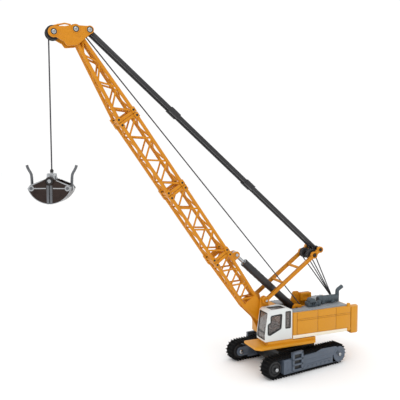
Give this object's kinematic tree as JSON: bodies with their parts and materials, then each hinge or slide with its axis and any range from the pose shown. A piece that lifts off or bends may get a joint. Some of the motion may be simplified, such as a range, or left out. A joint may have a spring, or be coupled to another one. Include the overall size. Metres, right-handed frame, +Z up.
{
  "type": "toy crawler crane",
  "caption": "Scale toy crawler crane: rubber tracks, slewing house with cab, luffing lattice boom held by mast and pendants, backstop cylinder, and a hanging clamshell grab.",
  "frame": {"origin": "centre of the carbody's flat underside, on the slew axis", "axes": "+X forward along the boom, +Y to the cab side, +Z up; the crawler stands turned 8.3 degrees about +Z from the upper works, as pictured"},
  "size_m": [0.2376, 0.0631, 0.2339],
  "materials": {
    "yellow_paint": "semi-gloss",
    "orange_plastic": "satin",
    "white_plastic": "gloss",
    "smoked_glazing": "gloss",
    "pale_grey_plastic": "matte",
    "slate_plastic": "satin",
    "dark_plastic": "satin",
    "dark_metal": "satin",
    "track_rubber": "matte",
    "frame_grey_plastic": "satin",
    "graphite_plastic": "satin",
    "rope_thread": "matte",
    "bright_chrome": "polished",
    "bronze_chrome": "metallic gloss"
  },
  "bodies": {
    "undercarriage": {"carbody": "dark_metal", "slew_ring": "dark_metal", "left_track_frame": "frame_grey_plastic", "right_track_frame": "frame_grey_plastic", "left_track_belt": "track_rubber", "right_track_belt": "track_rubber", "left_front_axle": "bright_chrome", "left_rear_axle": "bright_chrome", "right_front_axle": "bright_chrome", "right_rear_axle": "bright_chrome"},
    "left_idler_wheel": {"left_idler": "dark_plastic"},
    "left_sprocket_wheel": {"left_sprocket": "dark_plastic"},
    "right_idler_wheel": {"right_idler": "dark_plastic"},
    "right_sprocket_wheel": {"right_sprocket": "dark_plastic"},
    "house": {"deck": "yellow_paint", "house_body": "yellow_paint", "roof_deck": "pale_grey_plastic", "counterweight": "yellow_paint", "cab_shell": "white_plastic", "cab_glazing": "smoked_glazing", "front_locker": "orange_plastic", "mast_bracket": "orange_plastic", "boom_foot_pin": "bright_chrome", "engine_unit": "slate_plastic", "winch_frame": "orange_plastic", "backstop_pin": "bright_chrome"},
    "hoist_winch": {"hoist_drum": "graphite_plastic"},
    "luffing_winch": {"luffing_drum": "graphite_plastic"},
    "boom": {"boom_foot_section": "orange_plastic", "boom_lower_section": "orange_plastic", "boom_upper_section": "orange_plastic", "boom_head_section": "orange_plastic", "backstop_lug_pin": "bright_chrome", "head_plate_left": "orange_plastic", "head_plate_right": "orange_plastic", "tip_pin": "bright_chrome", "deflector_pin": "bright_chrome", "pendant_pin": "bright_chrome"},
    "tip_wheel": {"tip_sheave": "dark_plastic"},
    "deflector_wheel": {"deflector_sheave": "dark_plastic"},
    "mast": {"mast_frame": "orange_plastic", "mast_sheave_pin": "bright_chrome", "mast_end_pin": "bright_chrome"},
    "mast_wheel_left": {"mast_sheave_left": "dark_plastic"},
    "mast_wheel_right": {"mast_sheave_right": "dark_plastic"},
    "pendants": {"pendant_left": "graphite_plastic", "pendant_right": "graphite_plastic"},
    "backstop_cylinder": {"backstop_barrel": "graphite_plastic"},
    "backstop_piston": {"backstop_rod": "bright_chrome"},
    "hoist_line": {"hoist_rope": "rope_thread"},
    "hoist_line_foot": {"hoist_rope_lower": "rope_thread"},
    "luffing_line": {"luffing_rope_left": "rope_thread", "luffing_rope_right": "rope_thread"},
    "luffing_line_foot": {"luffing_rope_foot": "rope_thread"},
    "fall_line": {"fall_rope": "rope_thread"},
    "rope_end": {"rope_socket": "rope_thread"},
    "grab_frame": {"grab_yoke": "bright_chrome", "grab_pin": "bright_chrome"},
    "grab_jaw_front": {"jaw_front": "bronze_chrome"},
    "grab_jaw_rear": {"jaw_rear": "bronze_chrome"}
  },
  "joints": [
    {"name": "slew", "type": "hinge", "parent": "undercarriage", "child": "house", "pos_m": [0, 0, 0.0138], "axis": [0, 0, 1], "continuous": true},
    {"name": "left_sprocket_spin", "type": "hinge", "parent": "undercarriage", "child": "left_sprocket_wheel", "pos_m": [-0.0312, 0.01647, 0.00325], "axis": [-0.1444, 0.9895, 0], "continuous": true},
    {"name": "left_idler_spin", "type": "hinge", "parent": "undercarriage", "child": "left_idler_wheel", "pos_m": [0.02718, 0.02499, 0.00325], "axis": [-0.1444, 0.9895, 0], "continuous": true},
    {"name": "right_sprocket_spin", "type": "hinge", "parent": "undercarriage", "child": "right_sprocket_wheel", "pos_m": [-0.0252, -0.0247, 0.00325], "axis": [-0.1444, 0.9895, 0], "continuous": true},
    {"name": "right_idler_spin", "type": "hinge", "parent": "undercarriage", "child": "right_idler_wheel", "pos_m": [0.03318, -0.01618, 0.00325], "axis": [-0.1444, 0.9895, 0], "continuous": true},
    {"name": "boom_luff", "type": "hinge", "parent": "house", "child": "boom", "pos_m": [0.0238, 0, 0.032], "axis": [0, -1, 0], "range_deg": [-15, 6]},
    {"name": "mast_tilt", "type": "hinge", "parent": "house", "child": "mast", "pos_m": [0.0229, 0, 0.0457], "axis": [0, -1, 0], "range_deg": [-18.51, 7.64]},
    {"name": "pendant_swing", "type": "hinge", "parent": "mast", "child": "pendants", "pos_m": [-0.023, 0, 0.0791], "axis": [0, -1, 0], "range_deg": [-1.38, 2.85]},
    {"name": "backstop_tilt", "type": "hinge", "parent": "house", "child": "backstop_cylinder", "pos_m": [-0.005, 0, 0.0355], "axis": [0, -1, 0], "range_deg": [-10.86, 4.58]},
    {"name": "backstop_stroke", "type": "slide", "parent": "backstop_cylinder", "child": "backstop_piston", "axis": [0.7431, 0, 0.6691], "range_m": [-0.00247, 0.00573]},
    {"name": "hoist_winch_spin", "type": "hinge", "parent": "house", "child": "hoist_winch", "pos_m": [-0.0134, 0, 0.0292], "axis": [0, 1, 0], "continuous": true},
    {"name": "luffing_winch_spin", "type": "hinge", "parent": "house", "child": "luffing_winch", "pos_m": [-0.0386, 0, 0.0273], "axis": [0, 1, 0], "continuous": true},
    {"name": "tip_sheave_spin", "type": "hinge", "parent": "boom", "child": "tip_wheel", "pos_m": [0.1676, 0, 0.2235], "axis": [0, 1, 0], "continuous": true},
    {"name": "deflector_sheave_spin", "type": "hinge", "parent": "boom", "child": "deflector_wheel", "pos_m": [0.1544, 0, 0.2261], "axis": [0, 1, 0], "continuous": true},
    {"name": "mast_sheave_left_spin", "type": "hinge", "parent": "mast", "child": "mast_wheel_left", "pos_m": [-0.0178, 0, 0.0753], "axis": [0, 1, 0], "continuous": true},
    {"name": "mast_sheave_right_spin", "type": "hinge", "parent": "mast", "child": "mast_wheel_right", "pos_m": [-0.0178, 0, 0.0753], "axis": [0, 1, 0], "continuous": true},
    {"name": "hoist_line_swing", "type": "hinge", "parent": "boom", "child": "hoist_line", "pos_m": [0.1544, 0, 0.2261], "axis": [0, -1, 0], "range_deg": [-1.01, 0.64]},
    {"name": "hoist_line_foot_swing", "type": "hinge", "parent": "mast", "child": "hoist_line_foot", "pos_m": [0.00638, 0, 0.05788], "axis": [0, -1, 0], "range_deg": [-7.2, 17.4]},
    {"name": "luffing_line_swing", "type": "hinge", "parent": "mast", "child": "luffing_line", "pos_m": [-0.0178, 0, 0.0753], "axis": [0, -1, 0], "range_deg": [-6.68, 16.1]},
    {"name": "luffing_line_foot_swing", "type": "hinge", "parent": "house", "child": "luffing_line_foot", "pos_m": [-0.041, 0, 0.0388], "axis": [0, -1, 0], "range_deg": [-2.81, 1.36]},
    {"name": "fall_line_swing", "type": "hinge", "parent": "boom", "child": "fall_line", "pos_m": [0.1676, 0, 0.2235], "axis": [0, -1, 0], "range_deg": [-6.4, 15.4]},
    {"name": "grab_hoist", "type": "slide", "parent": "fall_line", "child": "rope_end", "axis": [0, 0, 1], "range_m": [-0.07, 0.045], "deforming": ["fall_rope"]},
    {"name": "grab_swivel", "type": "hinge", "parent": "rope_end", "child": "grab_frame", "pos_m": [0.16935, 0, 0.1383], "axis": [0, 0, 1], "continuous": true},
    {"name": "jaw_front_open", "type": "hinge", "parent": "grab_frame", "child": "grab_jaw_front", "pos_m": [0.16935, 0, 0.1337], "axis": [-0.3923, -0.9198, 0], "range_deg": [0, 40]},
    {"name": "jaw_rear_open", "type": "hinge", "parent": "grab_frame", "child": "grab_jaw_rear", "pos_m": [0.16935, 0, 0.1337], "axis": [-0.3923, -0.9198, 0], "range_deg": [-40.5, 0.5]}
  ],
  "couplings": [
    {"joint": "left_idler_spin", "follows": "left_sprocket_spin", "ratio": 1},
    {"joint": "right_idler_spin", "follows": "right_sprocket_spin", "ratio": 1},
    {"joint": "mast_tilt", "follows": "boom_luff", "ratio": 1.2071},
    {"joint": "pendant_swing", "follows": "boom_luff", "ratio": -0.1632},
    {"joint": "backstop_tilt", "follows": "boom_luff", "ratio": 0.697},
    {"joint": "backstop_stroke", "follows": "boom_luff", "m_per_rad": -0.02075},
    {"joint": "hoist_line_swing", "follows": "boom_luff", "ratio": 0.0406},
    {"joint": "hoist_line_foot_swing", "follows": "boom_luff", "ratio": -1.1334},
    {"joint": "luffing_line_swing", "follows": "boom_luff", "ratio": -1.0465},
    {"joint": "luffing_line_foot_swing", "follows": "boom_luff", "ratio": 0.1606},
    {"joint": "fall_line_swing", "follows": "boom_luff", "ratio": -1},
    {"joint": "luffing_winch_spin", "follows": "boom_luff", "ratio": -34.6},
    {"joint": "mast_sheave_left_spin", "follows": "boom_luff", "ratio": 9.8},
    {"joint": "mast_sheave_right_spin", "follows": "boom_luff", "ratio": -9.8},
    {"joint": "hoist_winch_spin", "follows": "grab_hoist", "rad_per_m": -289.9},
    {"joint": "deflector_sheave_spin", "follows": "grab_hoist", "rad_per_m": -327.9},
    {"joint": "tip_sheave_spin", "follows": "grab_hoist", "rad_per_m": -425.5},
    {"joint": "jaw_rear_open", "follows": "jaw_front_open", "ratio": -1}
  ]
}
